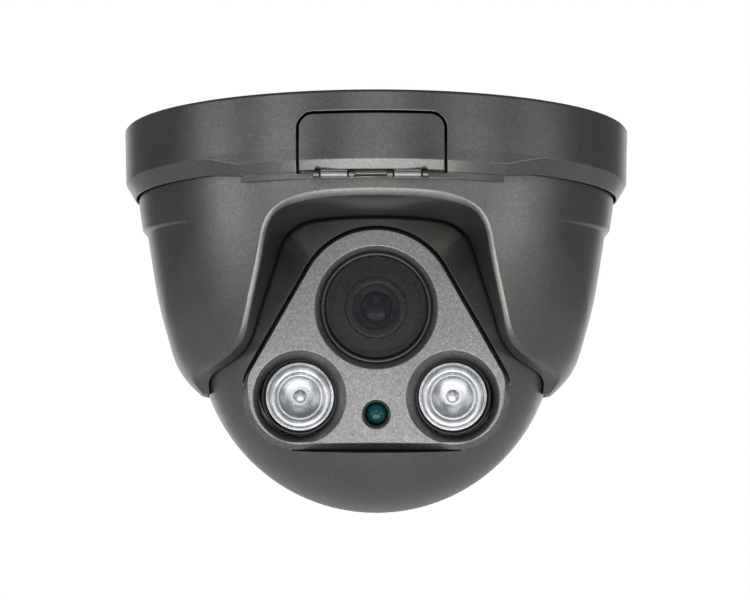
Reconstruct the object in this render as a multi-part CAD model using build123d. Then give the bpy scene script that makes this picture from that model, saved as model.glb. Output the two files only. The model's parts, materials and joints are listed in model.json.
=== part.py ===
from build123d import *
import math
import os

# Ceiling-hung dome camera. Millimetres, +Z up, origin at the centre of the ceiling face,
# the lens looks towards -Y. Everything hangs below z = 0.

# --- driving dimensions ---------------------------------------------------------------
RING_R = 60.4            # trim ring, outer radius at the ceiling
RING_FOOT_R = 60.05      # trim ring, outer radius just above its bevel
RING_BORE_R = 57.5       # trim ring, inner radius
RING_TURN = -1.0         # degrees the ring sits round from the bowl's centre line
RUN = 0.05               # radial clearance of a running fit
GAP = 0.35               # clearance between bodies that pass each other

BALL_Z = -48.3           # height of the tilt axis and of the ball's centre
BALL_R = 42.6            # ball, outer radius
BALL_WALL = 2.0
BALL_SPLIT = -6.0        # joint plane of the ball's halves, behind the ball's centre
REST_TILT = 5.5          # degrees the lens looks below the horizontal at rest

FACE_D = 31.0            # front of the face plate, in front of the ball's centre
FACE_T = 3.0             # thickness of the face plate
LENS_V = 6.9             # lens axis above the ball's centre line
LED_U = 17.3             # LED arrays, sideways
LED_V = -13.3            # LED arrays, below the centre line
SENSOR_V = -17.2         # light sensor, below the centre line

BAND_R = 56.9            # bowl, radius of its upper band
BOWL_WALL = 2.2
SEAT_R = BALL_R + 0.4    # bowl, radius of the spherical seat round the ball

PLATE_T = 3.0            # mounting plate
HUB_R = 44.0             # journal that the bowl turns on
HUB_BORE_R = 38.5
HUB_Z = -14.0            # foot of the journal
FLANGE_Z = -11.0         # top of the bowl's inward flange
FLANGE_T = 2.4
STOP_HALF = 2.0          # half the width of each lug that stops the bowl's turn
LOCK_Z = -6.9            # height of the lock screw behind the door
SCREW_CIRCLE_R = 33.0    # mounting screw holes
CABLE_Y = 20.0           # cable inlet, behind the centre

HINGE_Y = -58.15         # door hinge axis
HINGE_Z = -18.0
HINGE_PIN_R = 0.3
HINGE_TABS = ((-8.05, 5.7), (7.75, 5.7))   # centre and width of each hinge tab
HINGE_EAR = 1.3          # width of the ears beside the tabs

SLIDE = 3.4              # half the travel of the filter frame

# --- trim ring and door ---
SIDE = (-12.8, -16.4, 57.9)      # upper line, lower line and foot radius of the bevel
FRONT = (-15.0, -17.35, 58.4)
LIP_R = 58.15                    # thin lip under the front of the ring
LIP_Z = -18.75
SILL_R = 57.25                   # sill that the door stands on
SILL_Z = -17.5
RAMP_START = 29.5                # degrees either side of the front
RAMP_END = 38.5

DOOR_HALF = 15.65        # access door, half its width
DOOR_TOP = -5.1
DOOR_FOOT = -17.05
DOOR_SLIT = 0.55         # gap round the door
DOOR_CORNER = 3.0        # radius of the door's upper corners

# --- bowl ---
# Outside of the bowl, (radius, height): smooth at the front, and under the step elsewhere.
SMOOTH = [
    (BAND_R, FLANGE_Z),
    (BAND_R, -17.0),
    (56.1, -23.0),
    (55.6, -26.5),
    (54.6, -32.0),
    (52.9, -39.4),
    (50.8, -47.0),
    (49.4, -51.2),
    (48.2, -54.7),
    (46.4, -58.2),
    (43.8, -61.3),
    (41.8, -63.1),
]
STEPPED = [
    (54.5, -25.5),
    (53.5, -32.0),
    (52.2, -39.4),
    (50.35, -47.0),
    (49.1, -51.2),
    (48.0, -54.7),
    (46.2, -58.2),
    (43.6, -61.3),
    (41.3, -63.4),
]
STEP_TOP = (56.9, -22.4)         # where the chamfer under the bowl's band starts
HOLLOW = [
    (54.4, -24.0),
    (52.5, -27.0),
    (51.5, -32.0),
    (50.0, -39.4),
    (48.1, -47.0),
    (46.9, -51.2),
    (45.5, -54.7),
    (43.7, -57.2),
]
STEP_SHIFT = 1.8         # the step's tool is moved this far forward, so the step fades out there
NOTCH_TAPER = 7.0        # draft of the notch walls, degrees
NOTCH_START = -62.0      # plane in front of the bowl where the notch is drawn
NOTCH_END = -9.5         # the notch runs back to here

# Front view of the notch at NOTCH_START, right half from the top: (x, height).
NOTCH = [
    (8.0, -21.9),
    (16.0, -22.4),
    (20.6, -24.0),
    (23.4, -26.8),
    (25.2, -31.2),
    (27.6, -40.0),
    (29.9, -48.4),
    (31.9, -51.3),
    (36.0, -53.6),
    (44.5, -55.6),
]

# --- inside the ball, as depths and places in the face's frame ---
CARRIER_D = 18.5         # rear of the heat sink
CARRIER_T = 1.8
IR_BOARD_D = CARRIER_D + CARRIER_T
IR_BOARD_T = 1.4
MAIN_BOARD_D = -9.6      # rear of the main board
POSTS = ((0.0, 25.0), (-12.0, -25.4), (12.0, -25.4))     # ball posts that hold the heat sink
JOINT_R = 37.6           # screws that join the halves of the ball
JOINT_SEAT = -13.6       # seat of their heads
GLAND_ANGLE = 25.0       # the cable gland sits this far above the rear pole
LUG_U = 7.2              # screw lugs of the lens holder
LUG_V = 10.8
BOARD_HALF = 14.5        # sensor board, half its width
STANDOFF = 12.0          # board screws, either side of the lens axis

FACE = Plane(
    origin=(0, 0, BALL_Z),
    x_dir=(1, 0, 0),
    z_dir=(0, -math.cos(math.radians(REST_TILT)), -math.sin(math.radians(REST_TILT))),
)


# --- helpers --------------------------------------------------------------------------
def cylinder(radius, z_low, z_high, x=0.0, y=0.0):
    """Upright cylinder between two heights."""
    height = z_high - z_low
    return Pos(x, y, z_low + height / 2) * Cylinder(radius, height)


def tube(outer, inner, z_low, z_high, x=0.0, y=0.0):
    """Upright tube between two heights."""
    return cylinder(outer, z_low, z_high, x, y) - cylinder(inner, z_low - 1, z_high + 1, x, y)


def block(x_span, y_span, z_span):
    """Box from its three spans."""
    size = [high - low for low, high in (x_span, y_span, z_span)]
    middle = [(high + low) / 2 for low, high in (x_span, y_span, z_span)]
    return Pos(*middle) * Box(*size)


def turned(points, arc=360.0, start=0.0):
    """Solid of revolution about Z from (radius, height) points."""
    face = make_face(Polyline(*[(r, 0, z) for r, z in points], close=True))
    return Rot(0, 0, start) * revolve(face, Axis.Z, arc)


def along_x(radius, x_low, x_high, y, z):
    """Cylinder lying along X."""
    length = x_high - x_low
    return Pos(x_low + length / 2, y, z) * Rot(0, 90, 0) * Cylinder(radius, length)


def in_ball(shape):
    """Put a shape drawn in the face's own frame (u, v, depth) into the model."""
    return FACE.location * shape


def ring_turn(shape):
    return Rot(0, 0, RING_TURN) * shape


def around(count, radius, start=0.0):
    """Centres of a ring of holes."""
    for index in range(count):
        angle = math.radians(start + 360.0 * index / count)
        yield radius * math.cos(angle), radius * math.sin(angle)


def group(shapes):
    return Compound(children=list(shapes))


def save(name, shape):
    solids = shape.solids()
    item = solids[0] if len(solids) == 1 else Compound(children=list(solids))
    export_step(item, f"parts/{name}.step")


def pan_screw(seat_z, tip_z, shank_r, head_r, head_h, x=0.0, y=0.0):
    """Cross-recessed screw that points up: its head hangs below seat_z."""
    head = cylinder(head_r, seat_z - head_h, seat_z, x, y)
    rim = head.edges().group_by(Axis.Z)[0]
    head = chamfer(rim, head_h * 0.3)
    arm = head_r * 0.55
    slot = arm * 0.3
    recess = (seat_z - head_h - 1, seat_z - head_h * 0.45)
    cross = block((x - arm, x + arm), (y - slot, y + slot), recess)
    cross += block((x - slot, x + slot), (y - arm, y + arm), recess)
    return cylinder(shank_r, seat_z, tip_z, x, y) + head - cross


# --- base: plate, ring and pan bearing ------------------------------------------------
def mounting_plate():
    plate = cylinder(56.4, -PLATE_T, 0)
    plate += tube(50.5, HUB_BORE_R, -9.0, -PLATE_T)
    plate += tube(HUB_R, HUB_BORE_R, HUB_Z, -9.0)
    for x, y in around(3, SCREW_CIRCLE_R, 90):
        plate -= cylinder(2.25, -PLATE_T - 1, 1, x, y)
    plate -= cylinder(6.0, -PLATE_T - 1, 1, 0, CABLE_Y)
    for x, y in around(4, 41.3, 45):
        plate -= cylinder(1.15, HUB_Z - 1, -6.0, x, y)
    for x, y in around(3, 53.6, 90):
        plate -= cylinder(1.15, -PLATE_T - 1, -0.8, x, y)
    pocket_low = -1.2
    for x, y in around(12, 47.0, 15):
        plate -= cylinder(3.0, pocket_low, 1, x, y)
    plate -= lock_hole(1.2)
    plate += block((-STOP_HALF, STOP_HALF), (50.05, 53.6), (-10.6, -7.0))
    return plate


def lock_hole(radius):
    """Radial hole for the lock screw, from the front of the ring into the plate's rim."""
    bore = Pos(0, -53.0, LOCK_Z) * Rot(90, 0, 0) * Cylinder(radius, 10.0)
    return ring_turn(bore)


def bevel_section(upper, lower, foot_r, lip=False):
    """What is cut off under the ring: its bevel and all below its bottom edge or its lip."""
    points = [(RING_FOOT_R + 0.02, upper), (64.0, upper), (64.0, -21.0), (55.0, -21.0)]
    if lip:
        points += [(55.0, LIP_Z), (LIP_R, LIP_Z), (LIP_R, lower), (foot_r, lower)]
    else:
        points += [(55.0, lower), (foot_r, lower)]
    return points


def bevel_cutter():
    """Bevel at the sides, at the front, and the two ramps between them."""
    front_arc = 2 * RAMP_START
    side_arc = 360 - 2 * RAMP_END
    cutter = turned(bevel_section(*FRONT, lip=True), front_arc, -90 - RAMP_START)
    cutter += turned(bevel_section(*SIDE), side_arc, -90 + RAMP_END)
    steps = 4
    for side in (-1, 1):
        sections = []
        for step in range(steps + 1):
            share = step / steps
            values = [a + (b - a) * share for a, b in zip(FRONT, SIDE)]
            angle = -90 + side * (RAMP_START + (RAMP_END - RAMP_START) * share)
            points = [(r, 0, z) for r, z in bevel_section(*values)]
            sections.append(Rot(0, 0, angle) * make_face(Polyline(*points, close=True)))
        for near, far in zip(sections, sections[1:]):
            cutter += loft([near, far], ruled=True)
    return cutter


def door_outline(grow, bottom):
    """Front view of the door, a panel with two round upper corners, cut through the ring."""
    half = DOOR_HALF + grow
    top = DOOR_TOP + grow
    middle = (top + bottom) / 2
    panel = Plane.XZ.offset(70) * Pos(0, middle) * Rectangle(2 * half, top - bottom)
    solid = extrude(panel, amount=-25)
    corners = solid.edges().filter_by(Axis.Y).group_by(Axis.Z)[-1]
    return fillet(corners, DOOR_CORNER + grow)


def ring_wall():
    profile = [
        (RING_BORE_R, 0),
        (RING_R - 0.5, 0),
        (RING_R, -0.5),
        (RING_FOOT_R, -12.6),
        (RING_FOOT_R, -19.5),
        (RING_BORE_R, -19.5),
    ]
    return turned(profile) - bevel_cutter()


def base_ring():
    ring = ring_wall()
    shelf = turned([(51.2, -3.3), (58.0, -3.3), (58.0, -5.3), (51.2, -5.3)])
    ring += shelf
    ring -= door_outline(DOOR_SLIT, SILL_Z)
    ring += turned(
        [(SILL_R, SILL_Z), (57.8, SILL_Z), (57.8, LIP_Z), (SILL_R, LIP_Z)], 44, -112
    )
    ring += block((-6.0, 6.0), (-55.9, -54.0), (LOCK_Z - 3.0, -4.0))
    ring -= Rot(0, 0, -RING_TURN) * lock_hole(1.65)
    for centre, width in HINGE_TABS:
        half = width / 2 + 0.3
        ring -= block((centre - half, centre + half), (-61, HINGE_Y + 0.9), (-19, SILL_Z + 0.1))
    for ear in hinge_ears():
        ring += ear
    ring -= along_x(HINGE_PIN_R + 0.02, -12.6, 12.6, HINGE_Y, HINGE_Z)
    for x, y in around(3, 53.6, 90 - RING_TURN):
        ring -= cylinder(1.35, -6, -3, x, y)
    return ring_turn(ring)


def hinge_ears():
    """Ears either side of each door tab that carry the hinge pin."""
    ears = []
    for centre, width in HINGE_TABS:
        for side in (-1, 1):
            near = centre + side * (width / 2 + 0.3)
            low, high = sorted((near, near + side * HINGE_EAR))
            ear = along_x(0.62, low, high, HINGE_Y, HINGE_Z)
            ear += block((low, high), (HINGE_Y, -55.0), (LIP_Z, SILL_Z))
            ears.append(ear - cylinder(SILL_R + 0.1, -25, -10))
    return ears


def ceiling_gasket():
    return tube(57.05, 56.45, -1.6, 0)


def cable_grommet():
    grommet = cylinder(5.95, -PLATE_T, 0, 0, CABLE_Y)
    grommet += cylinder(7.6, -PLATE_T - 1.4, -PLATE_T, 0, CABLE_Y)
    return grommet - cylinder(3.5, -6, 1, 0, CABLE_Y)


def ring_screws():
    return group(
        pan_screw(-5.3, -1.0, 1.1, 2.0, 1.5, x, y) for x, y in around(3, 53.6, 90)
    )


def lock_screw():
    screw = pan_screw(0, 7.3, 1.15, 2.1, 1.4)
    screw = Pos(0, -55.9, LOCK_Z) * Rot(-90, 0, 0) * screw
    return ring_turn(screw)


def door_hinge_pin():
    """A short pin through each tab and the ears beside it."""
    pins = []
    for centre, width in HINGE_TABS:
        half = width / 2 + HINGE_EAR
        pins.append(along_x(HINGE_PIN_R, centre - half, centre + half, HINGE_Y, HINGE_Z))
    return ring_turn(group(pins))


def access_door():
    skin = turned(
        [
            (58.1, -2.0),
            (RING_R - 0.05, -2.0),
            (RING_FOOT_R, -12.6),
            (RING_FOOT_R, -18.5),
            (58.1, -18.5),
        ],
        60,
        -120,
    )
    skin -= bevel_cutter()
    return ring_turn(skin & door_outline(0, DOOR_FOOT))


def door_hinge_tabs():
    tabs = []
    for centre, width in HINGE_TABS:
        knuckle = along_x(0.6, centre - width / 2, centre + width / 2, HINGE_Y, HINGE_Z)
        strap = block(
            (centre - width / 2, centre + width / 2),
            (HINGE_Y - 0.1, HINGE_Y + 0.6),
            (HINGE_Z, DOOR_FOOT),
        )
        tab = knuckle + strap
        tab -= along_x(HINGE_PIN_R + RUN, -20, 20, HINGE_Y, HINGE_Z)
        tabs.append(tab)
    return ring_turn(group(tabs))


def pan_friction_ring():
    return tube(50.0, 45.5, FLANGE_Z + GAP, -9.0)


def pan_retainer_ring():
    ring = tube(50.0, 37.5, -16.2, HUB_Z)
    for x, y in around(4, 41.3, 45):
        ring -= cylinder(1.35, -17, -13, x, y)
    return ring


def retainer_screws():
    return group(pan_screw(-16.2, -8.0, 1.1, 2.1, 1.5, x, y) for x, y in around(4, 41.3, 45))


# --- bowl -----------------------------------------------------------------------------


def smooth_side(points):
    """Closed solid of revolution with a spline outside through (radius, height) points."""
    side = Spline(*[(r, 0, z) for r, z in points])
    top = points[0][1]
    foot = points[-1][1]
    lid = Line((0, 0, top), (points[0][0], 0, top))
    base = Line((points[-1][0], 0, foot), (0, 0, foot))
    axis = Line((0, 0, foot), (0, 0, top))
    return revolve(make_face([lid, side, base, axis]), Axis.Z)


def step_tool():
    """What lies inside the stepped surface, with the chamfer under the band on top."""
    top_r, top_z = STEP_TOP
    end_r, end_z = STEPPED[0]
    middle = ((top_r + end_r) / 2 + 0.1, 0, (top_z + end_z) / 2 - 0.1)
    chamfered = ThreePointArc((top_r, 0, top_z), middle, (end_r, 0, end_z))
    side = Spline(*[(r, 0, z) for r, z in STEPPED])
    foot_r, foot_z = STEPPED[-1]
    base = Line((foot_r, 0, foot_z), (0, 0, foot_z))
    axis = Line((0, 0, foot_z), (0, 0, top_z))
    roof = Line((0, 0, top_z), (top_r, 0, top_z))
    return revolve(make_face([roof, chamfered, side, base, axis]), Axis.Z)


def bowl_outside():
    body = smooth_side(SMOOTH)
    keep = step_tool()
    keep_front = Pos(0, -STEP_SHIFT, 0) * step_tool()
    cutter = tube(62.0, 30.0, -66.0, STEP_TOP[1]) - keep - keep_front
    return body - cutter


def notch_outline(grow):
    """Closed outline of the notch in the plane where it is drawn, grown by a set amount."""
    points = []
    for index, (x, z) in enumerate(NOTCH):
        before = NOTCH[max(index - 1, 0)]
        after = NOTCH[min(index + 1, len(NOTCH) - 1)]
        dx, dz = after[0] - before[0], after[1] - before[1]
        size = math.hypot(dx, dz)
        points.append((x - dz / size * grow, z + dx / size * grow))
    top = points[0][1]
    right = Spline(*[(x, z) for x, z in points], tangents=[(1, 0), (1, -0.15)])
    mirrored = [(-x, z) for x, z in reversed(points)]
    left = Spline(*mirrored, tangents=[(1, 0.15), (1, 0)])
    roof = Line((-points[0][0], top), (points[0][0], top))
    end_x, end_z = points[-1]
    foot = Polyline((end_x, end_z), (end_x, -72.0), (-end_x, -72.0), (-end_x, end_z))
    return make_face([roof, right, foot, left])


def notch_cut(grow, end=NOTCH_END, taper=NOTCH_TAPER):
    """Notch as a drafted solid running back from in front of the bowl."""
    sketch = Plane.XZ.offset(-NOTCH_START) * notch_outline(grow)
    return extrude(sketch, amount=NOTCH_START - end, taper=taper)


def dome_shell():
    outside = bowl_outside()
    hollow = smooth_side(HOLLOW)
    hollow += cylinder(HOLLOW[0][0], HOLLOW[0][1], FLANGE_Z - FLANGE_T)
    tunnel = notch_cut(1.9, end=-26.0, taper=0)
    hollow -= tunnel
    shell = outside - hollow - Pos(0, 0, BALL_Z) * Sphere(SEAT_R)
    shell -= cylinder(HUB_R + RUN, FLANGE_Z - FLANGE_T - 1, 0)
    shell -= notch_cut(0)
    shell += block((-STOP_HALF, STOP_HALF), (-53.6, -51.3), (FLANGE_Z - 1, -8.4))
    for side in (-1, 1):
        low, high = sorted((side * (BALL_R + 0.75), side * 48.0))
        shell += along_x(5.2, low, high, 0, BALL_Z)
        low, high = sorted((side * 42.0, side * 47.3))
        shell -= along_x(2.9, low, high, 0, BALL_Z)
    return shell


def tilt_bushing(side):
    low, high = sorted((side * (BALL_R + 0.75), side * 47.25))
    return along_x(2.85, low, high, 0, BALL_Z) - along_x(2.0 + RUN, low - 1, high + 1, 0, BALL_Z)


# --- ball: drawn in the face's frame, u sideways, v up, depth towards the viewer --------
def face_outline(grow):
    """Rounded triangle of the face plate: a large circle above two smaller ones."""
    top = Pos(0, LENS_V) * Circle(18.0 + grow)
    feet = [Pos(side * 18.1, -13.05) * Circle(12.2 + grow) for side in (-1, 1)]
    return make_hull((top + feet[0] + feet[1]).edges())


def face_prism(grow, low, high):
    return extrude(Pos(0, 0, low) * face_outline(grow), amount=high - low)


def ball_shape(radius):
    """Ball with a flat spot on each side for the tilt washers."""
    flat = 42.0 * radius / BALL_R
    return Sphere(radius) & Box(2 * flat, 100, 100)


def ball_front():
    body = ball_shape(BALL_R) - Sphere(BALL_R - BALL_WALL)
    frame = face_prism(2.0, 24.0, 45.0) & Sphere(BALL_R)
    frame += face_prism(-0.15, 20.5, FACE_D - FACE_T - 0.1)
    body += frame
    for u in (-1, 1):
        pad = along_x(7.0, 38.5, 41.5, 0, 0)
        body += Rot(0, 0, 0 if u > 0 else 180) * pad
    for u, v in around(4, JOINT_R, 45):
        body += cylinder(3.2, BALL_SPLIT, 6.0, u, v) & Sphere(BALL_R - 0.5)
    body -= face_prism(0.45, FACE_D - FACE_T - 0.1, 60.0)
    body -= face_prism(-2.6, 10.0, 60.0) - face_prism(10.0, 5.0, 12.0)
    for u, v in POSTS:
        body += cylinder(2.4, CARRIER_D + CARRIER_T, 26.0, u, v)
        body -= cylinder(0.95, CARRIER_D, 25.0, u, v)
    body -= block((-60, 60), (-60, 60), (-60, BALL_SPLIT))
    for u, v in around(4, JOINT_R, 45):
        body -= cylinder(1.0, BALL_SPLIT - 1, 4.5, u, v)
    body -= along_x(2.03, -60, 60, 0, 0)
    return in_ball(body)


def gland_place(shape):
    """Put a shape drawn along +Z from the ball's centre on the gland's axis."""
    return Rot(GLAND_ANGLE - 180, 0, 0) * shape


def ball_rear():
    body = ball_shape(BALL_R) - Sphere(BALL_R - BALL_WALL)
    for u, v in around(4, JOINT_R, 45):
        body += cylinder(3.2, -34.0, BALL_SPLIT, u, v) & Sphere(BALL_R - 0.5)
    body &= block((-60, 60), (-60, 60), (-60, BALL_SPLIT))
    body -= tube(41.7, 40.9, BALL_SPLIT - 0.8, BALL_SPLIT + 1)
    for u, v in around(4, JOINT_R, 45):
        body -= cylinder(1.15, -40.0, 0, u, v)
        body -= cylinder(2.2, -40.0, JOINT_SEAT, u, v)
    body -= gland_place(cylinder(4.6, 30, 60))
    return in_ball(body)


def ball_seal():
    return in_ball(tube(41.7, 40.9, BALL_SPLIT - 0.8, BALL_SPLIT))


def ball_screws():
    return in_ball(
        group(pan_screw(JOINT_SEAT, 3.5, 0.95, 1.9, 1.3, u, v) for u, v in around(4, JOINT_R, 45))
    )


def ball_cable_gland():
    gland = cylinder(4.55, BALL_R - 3.4, BALL_R + 0.1) + cylinder(6.2, BALL_R - 5.4, BALL_R - 3.4)
    collar = cylinder(6.0, BALL_R - 0.5, BALL_R + 1.6)
    gland += collar - Sphere(BALL_R)
    return in_ball(gland_place(gland - cylinder(2.6, 20, 60)))


def tilt_pivot(side):
    """Shoulder screw: head inside the ball, plain shank in the bowl's bushing."""
    low, high = sorted((side * 38.5, side * 46.9))
    pivot = along_x(2.0, low, high, 0, 0)
    low, high = sorted((side * 36.3, side * 38.5))
    pivot += along_x(3.9, low, high, 0, 0)
    slot_low, slot_high = sorted((side * 35.0, side * 37.4))
    pivot -= block((slot_low, slot_high), (-4.2, 4.2), (-0.5, 0.5))
    return in_ball(pivot)


def tilt_washer(side):
    low, high = sorted((side * 42.0, side * 43.0))
    return in_ball(along_x(6.2, low, high, 0, 0) - along_x(2.05, low - 1, high + 1, 0, 0))


def face_plate():
    plate = face_prism(0, FACE_D - FACE_T, FACE_D)
    plate = chamfer(plate.faces().sort_by(Axis.Z)[-1].edges(), 1.2)
    window = (0, LENS_V)
    plate -= cylinder(12.65, 20, 40, *window)
    plate -= Pos(0, LENS_V, FACE_D - 0.75) * Cone(12.65, 13.9, 1.5)
    seat = tube(14.0, 12.65, 25.6, FACE_D - FACE_T, *window)
    seat += tube(14.0, 10.6, 25.6, 27.0, *window)
    plate += seat
    for side in (-1, 1):
        u = side * LED_U
        plate -= cylinder(9.3, 20, 40, u, LED_V)
        plate -= Pos(u, LED_V, FACE_D - 0.6) * Cone(9.3, 10.5, 1.6)
    plate -= cylinder(2.7, 20, 40, 0, SENSOR_V)
    plate -= Pos(0, SENSOR_V, FACE_D - 0.4) * Cone(2.7, 3.5, 0.8)
    return in_ball(plate)


def window_ring():
    ring = turned([(11.5, 27.9), (12.6, 27.9), (12.6, 30.1), (12.1, 30.3), (11.5, 29.6)])
    return in_ball(Pos(0, LENS_V, 0) * ring)


def window_glass():
    glass = cylinder(11.45, 27.9, 29.3, 0, LENS_V)
    return in_ball(glass)


def window_gasket():
    return in_ball(tube(12.6, 10.6, 27.0, 27.9, 0, LENS_V))


def lens_shroud():
    """Black baffle behind the glass, stepped in rings down to the lens."""
    steps = [(13.8, 25.5)]
    for index in range(4):
        radius = 10.4 - index * 0.8
        height = 25.5 - index * 0.45
        steps += [(radius, height), (radius, height - 0.45)]
    steps += [(7.4, 23.7), (7.4, 21.2), (8.4, 21.2), (8.4, 22.6), (13.8, 24.6)]
    return in_ball(Pos(0, LENS_V, 0) * turned(steps))


def lens_holder():
    body = block((-12.4, 12.4), (LENS_V - 8.6, LENS_V + 8.6), (1.6, 7.8))
    body += cylinder(8.2, 7.8, 16.2, 0, LENS_V)
    for side in (-1, 1):
        body += cylinder(2.4, 1.6, 4.2, side * LUG_U, LENS_V - LUG_V)
        lug = (side * LUG_U - 2.4, side * LUG_U + 2.4)
        body += block(lug, (LENS_V - LUG_V, LENS_V - 8.0), (1.6, 4.2))
        body -= cylinder(1.05, 0, 5, side * LUG_U, LENS_V - LUG_V)
    body -= cylinder(6.0 + RUN, 7.0, 17.0, 0, LENS_V)
    body -= cylinder(4.6, 1.0, 8.0, 0, LENS_V)
    body -= block((-5.2, 5.2), (LENS_V - 4.6, LENS_V + 4.6), (1.0, 4.0))
    body -= block((-11.75, 11.75), (LENS_V - 4.95, LENS_V + 4.95), (4.0, 6.4))
    return in_ball(body)


def holder_screws():
    return in_ball(
        group(
            pan_screw(0.0, 4.0, 0.95, 1.7, 1.1, side * LUG_U, LENS_V - LUG_V) for side in (-1, 1)
        )
    )


def standoff_places():
    for u in (-STANDOFF, STANDOFF):
        for v in (LENS_V - STANDOFF, LENS_V + STANDOFF):
            yield u, v


def sensor_board():
    board = block(
        (-BOARD_HALF, BOARD_HALF), (LENS_V - BOARD_HALF, LENS_V + BOARD_HALF), (0.0, 1.6)
    )
    board = fillet(board.edges().filter_by(Axis.Z), 1.5)
    for u, v in standoff_places():
        board -= cylinder(1.05, -1, 3, u, v)
    for side in (-1, 1):
        board -= cylinder(1.0, -1, 3, side * LUG_U, LENS_V - LUG_V)
    return in_ball(board)


def image_sensor():
    chip = block((-4.6, 4.6), (LENS_V - 3.9, LENS_V + 3.9), (1.6, 2.7))
    chip -= block((-3.4, 3.4), (LENS_V - 2.7, LENS_V + 2.7), (2.4, 3.0))
    return in_ball(chip)


def filter_frame():
    centre = -SLIDE
    frame = block(
        (centre - 8.0, centre + 8.0), (LENS_V - 4.6, LENS_V + 4.6), (4.35, 6.05)
    )
    for offset in (-SLIDE, SLIDE):
        u = centre + offset
        frame -= block((u - 3.0, u + 3.0), (LENS_V - 3.4, LENS_V + 3.4), (4.0, 7.0))
    return in_ball(frame)


def filter_window(offset):
    u = -SLIDE + offset
    return in_ball(block((u - 2.97, u + 2.97), (LENS_V - 3.37, LENS_V + 3.37), (4.8, 5.6)))


def filter_coil():
    coil = block((12.5, 16.5), (LENS_V - 5.0, LENS_V + 5.0), (1.7, 6.6))
    coil = fillet(coil.edges().filter_by(Axis.Z), 1.0)
    return in_ball(coil)


def lens_barrel():
    barrel = turned(
        [
            (0, 8.6),
            (6.0, 8.6),
            (6.0, 19.8),
            (7.0, 20.2),
            (7.0, 25.6),
            (6.6, 26.0),
            (5.4, 26.0),
            (5.2, 25.7),
            (3.75, 24.9),
            (3.75, 22.0),
            (0, 22.0),
        ]
    )
    barrel -= turned([(0, 8.0), (4.2, 8.0), (4.2, 12.0), (0, 12.0)])
    return in_ball(Pos(0, LENS_V, 0) * barrel)


def lens_front_element():
    dome = turned_arc(3.72, 22.0, 24.0, 0.9)
    return in_ball(Pos(0, LENS_V, 0) * dome)


def turned_arc(radius, low, edge_z, rise):
    """Disc with a domed top: its edge is at edge_z and its crown is rise higher."""
    base = Line((0, 0, low), (radius, 0, low))
    wall = Line((radius, 0, low), (radius, 0, edge_z))
    sphere_r = (radius * radius + rise * rise) / (2 * rise)
    half = math.asin(radius / sphere_r) / 2
    middle = (sphere_r * math.sin(half), 0, edge_z + rise - sphere_r * (1 - math.cos(half)))
    dome = ThreePointArc((radius, 0, edge_z), middle, (0, 0, edge_z + rise))
    axis = Line((0, 0, edge_z + rise), (0, 0, low))
    return revolve(make_face([base, wall, dome, axis]), Axis.Z)


def focus_lock_ring():
    ring = tube(8.2, 6.0, 16.6, 18.4, 0, LENS_V)
    for u, v in around(3, 8.2, 30):
        ring -= cylinder(0.8, 16, 19, u, v + LENS_V)
    return in_ball(ring)


def carrier_outline(grow):
    outline = face_outline(grow - 0.6)
    for u, v in POSTS:
        outline += Pos(u, v * 0.96) * Circle(3.1 + grow)
    return outline


def heat_sink():
    plate = extrude(Pos(0, 0, CARRIER_D) * carrier_outline(0), amount=CARRIER_T)
    plate -= cylinder(9.2, 10, 30, 0, LENS_V)
    for u, v in POSTS:
        plate -= cylinder(1.1, 10, 30, u, v)
    for u, v in standoff_places():
        plate += cylinder(2.2, 1.6, CARRIER_D, u, v)
        plate -= cylinder(0.95, 0, 12.0, u, v)
    return in_ball(plate)


def heat_sink_screws():
    return in_ball(group(pan_screw(CARRIER_D, 24.0, 0.9, 1.9, 1.2, u, v) for u, v in POSTS))


def ir_board():
    board = extrude(Pos(0, 0, IR_BOARD_D) * face_outline(-3.4), amount=IR_BOARD_T)
    board -= cylinder(9.2, 10, 30, 0, LENS_V)
    for u, v in POSTS:
        board -= cylinder(2.9, 10, 30, u, v)
    return in_ball(board)


def array_led(side):
    u = side * LED_U
    top = IR_BOARD_D + IR_BOARD_T
    led = block((u - 5.2, u + 5.2), (LED_V - 5.2, LED_V + 5.2), (top, top + 0.8))
    led += cylinder(3.2, top + 0.8, top + 1.2, u, LED_V)
    return in_ball(led)


def led_lens(side):
    """Moulded lens: bright ringed bezel, a dish, and a clear crown at its middle."""
    low = IR_BOARD_D + 2.65
    profile = [
        (0.0, low),
        (7.5, low),
        (7.75, 29.2),
        (7.55, 30.4),
        (6.9, 30.9),
        (6.25, 30.4),
        (5.9, 29.5),
        (0.0, 29.2),
    ]
    body = turned(profile) + turned_arc(5.1, 29.0, 29.4, 1.3)
    return in_ball(Pos(side * LED_U, LED_V, 0) * body)


def led_seal(side):
    section = Pos(8.5, 0, 28.9) * Rot(90, 0, 0) * Circle(0.72)
    ring = revolve(section, Axis.Z)
    return in_ball(Pos(side * LED_U, LED_V, 0) * ring)


def light_sensor():
    body = turned_arc(2.45, IR_BOARD_D + IR_BOARD_T, 28.6, 1.9)
    return in_ball(Pos(0, SENSOR_V, 0) * body)


def main_board():
    board = block((-19.0, 19.0), (LENS_V - 19.0, LENS_V + 19.0), (MAIN_BOARD_D, MAIN_BOARD_D + 1.6))
    board = fillet(board.edges().filter_by(Axis.Z), 2.0)
    for u, v in standoff_places():
        board -= cylinder(1.1, -20, 0, u, v)
    return in_ball(board)


def board_standoffs():
    posts = []
    for u, v in standoff_places():
        posts.append(
            tube(2.2, 1.0, MAIN_BOARD_D + 1.6, 0.0, u, v)
        )
    return in_ball(group(posts))


def board_screws():
    screws = []
    for u, v in standoff_places():
        screws.append(pan_screw(MAIN_BOARD_D, 9.0, 0.9, 1.9, 1.3, u, v))
    return in_ball(group(screws))


def image_processor():
    low = MAIN_BOARD_D - 1.4
    chip = block((-6.5, 6.5), (LENS_V - 6.5, LENS_V + 6.5), (low, MAIN_BOARD_D))
    return in_ball(chip)


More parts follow.
